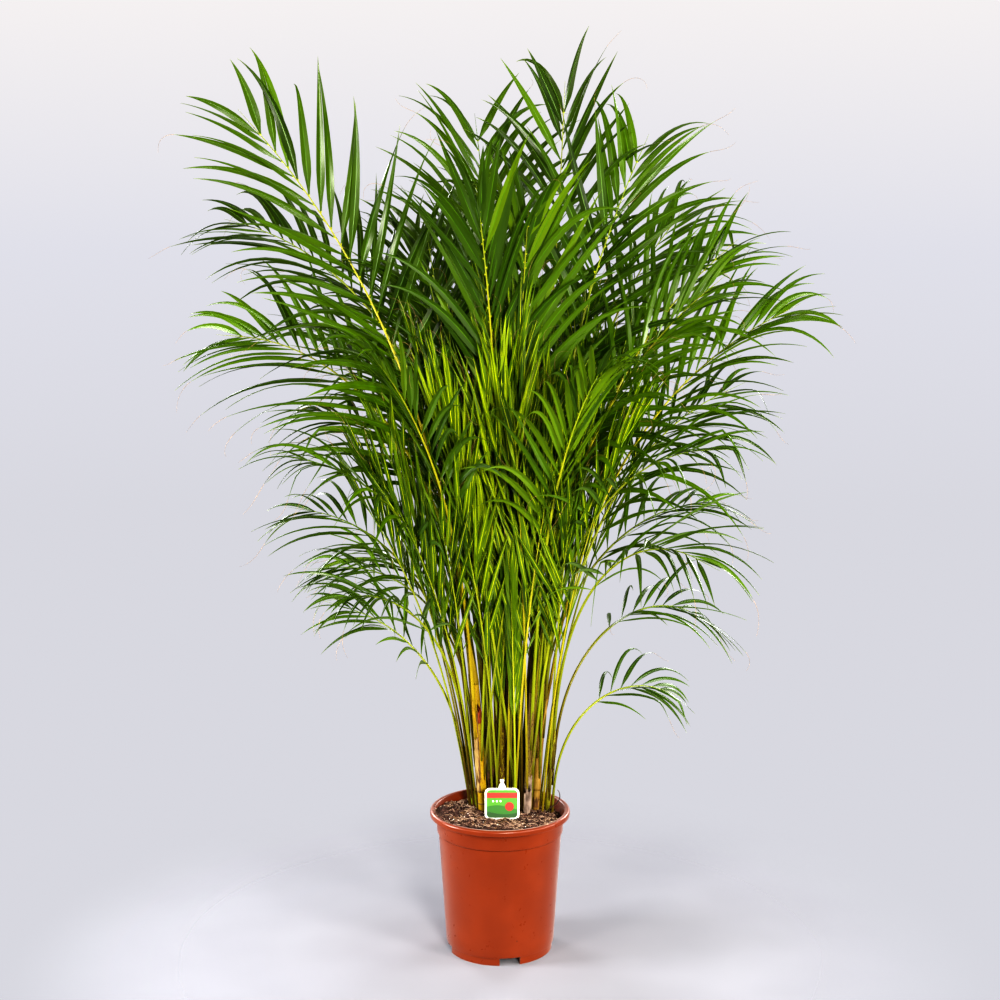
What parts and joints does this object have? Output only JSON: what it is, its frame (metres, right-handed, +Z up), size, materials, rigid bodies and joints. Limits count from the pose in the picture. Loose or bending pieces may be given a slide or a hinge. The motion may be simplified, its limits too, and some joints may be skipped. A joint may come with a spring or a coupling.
{
  "type": "potted palm",
  "caption": "Potted areca palm: a clump of slender canes with long feathery fronds in a round plastic nursery pot with rolled rim, soil and a small plant tag.",
  "frame": {"origin": "centre of the pot's flat underside", "axes": "+Z up along the pot's axis, -Y towards the front of the plant, +X to the right as seen from the front"},
  "size_m": [1.2932, 1.1602, 1.7169],
  "materials": {
    "pot": "satin",
    "soil": "matte",
    "tag": "satin",
    "tag_print": "satin",
    "stalk": "satin",
    "leaf": "satin"
  },
  "bodies": {
    "root": {"pot": "pot", "soil": "soil", "tag": "tag", "tag_face": "tag_print", "cane_golden": "stalk", "cane_olive": "stalk", "cane_spotted": "stalk", "cane_dark": "stalk", "cane_grey": "stalk", "cane_tan": "stalk", "cane_leftShoot": "stalk", "cane_rightShoot": "stalk", "cane_backLeft": "stalk", "cane_backMid": "stalk", "cane_backRight": "stalk", "frond_golden_1": "leaf", "frond_golden_2": "leaf", "frond_golden_3": "leaf", "frond_olive_1": "leaf", "frond_olive_2": "leaf", "frond_olive_3": "leaf", "frond_spotted_1": "leaf", "frond_spotted_2": "leaf", "frond_spotted_3": "leaf", "frond_dark_1": "leaf", "frond_dark_2": "leaf", "frond_dark_3": "leaf", "frond_dark_4": "leaf", "frond_grey_1": "leaf", "frond_grey_2": "leaf", "frond_grey_3": "leaf", "frond_grey_4": "leaf", "frond_tan_1": "leaf", "frond_tan_2": "leaf", "frond_tan_3": "leaf", "frond_left_shoot_1": "leaf", "frond_left_shoot_2": "leaf", "frond_left_shoot_3": "leaf", "frond_right_shoot_1": "leaf", "frond_right_shoot_2": "leaf", "frond_right_shoot_3": "leaf", "frond_back_left_1": "leaf", "frond_back_left_2": "leaf", "frond_back_left_3": "leaf", "frond_back_left_4": "leaf", "frond_back_mid_1": "leaf", "frond_back_mid_2": "leaf", "frond_back_mid_3": "leaf", "frond_back_mid_4": "leaf", "frond_back_right_1": "leaf", "frond_back_right_2": "leaf", "frond_back_right_3": "leaf", "frond_low_left": "leaf", "frond_low_right": "leaf", "frond_front": "leaf"}
  },
  "joints": []
}
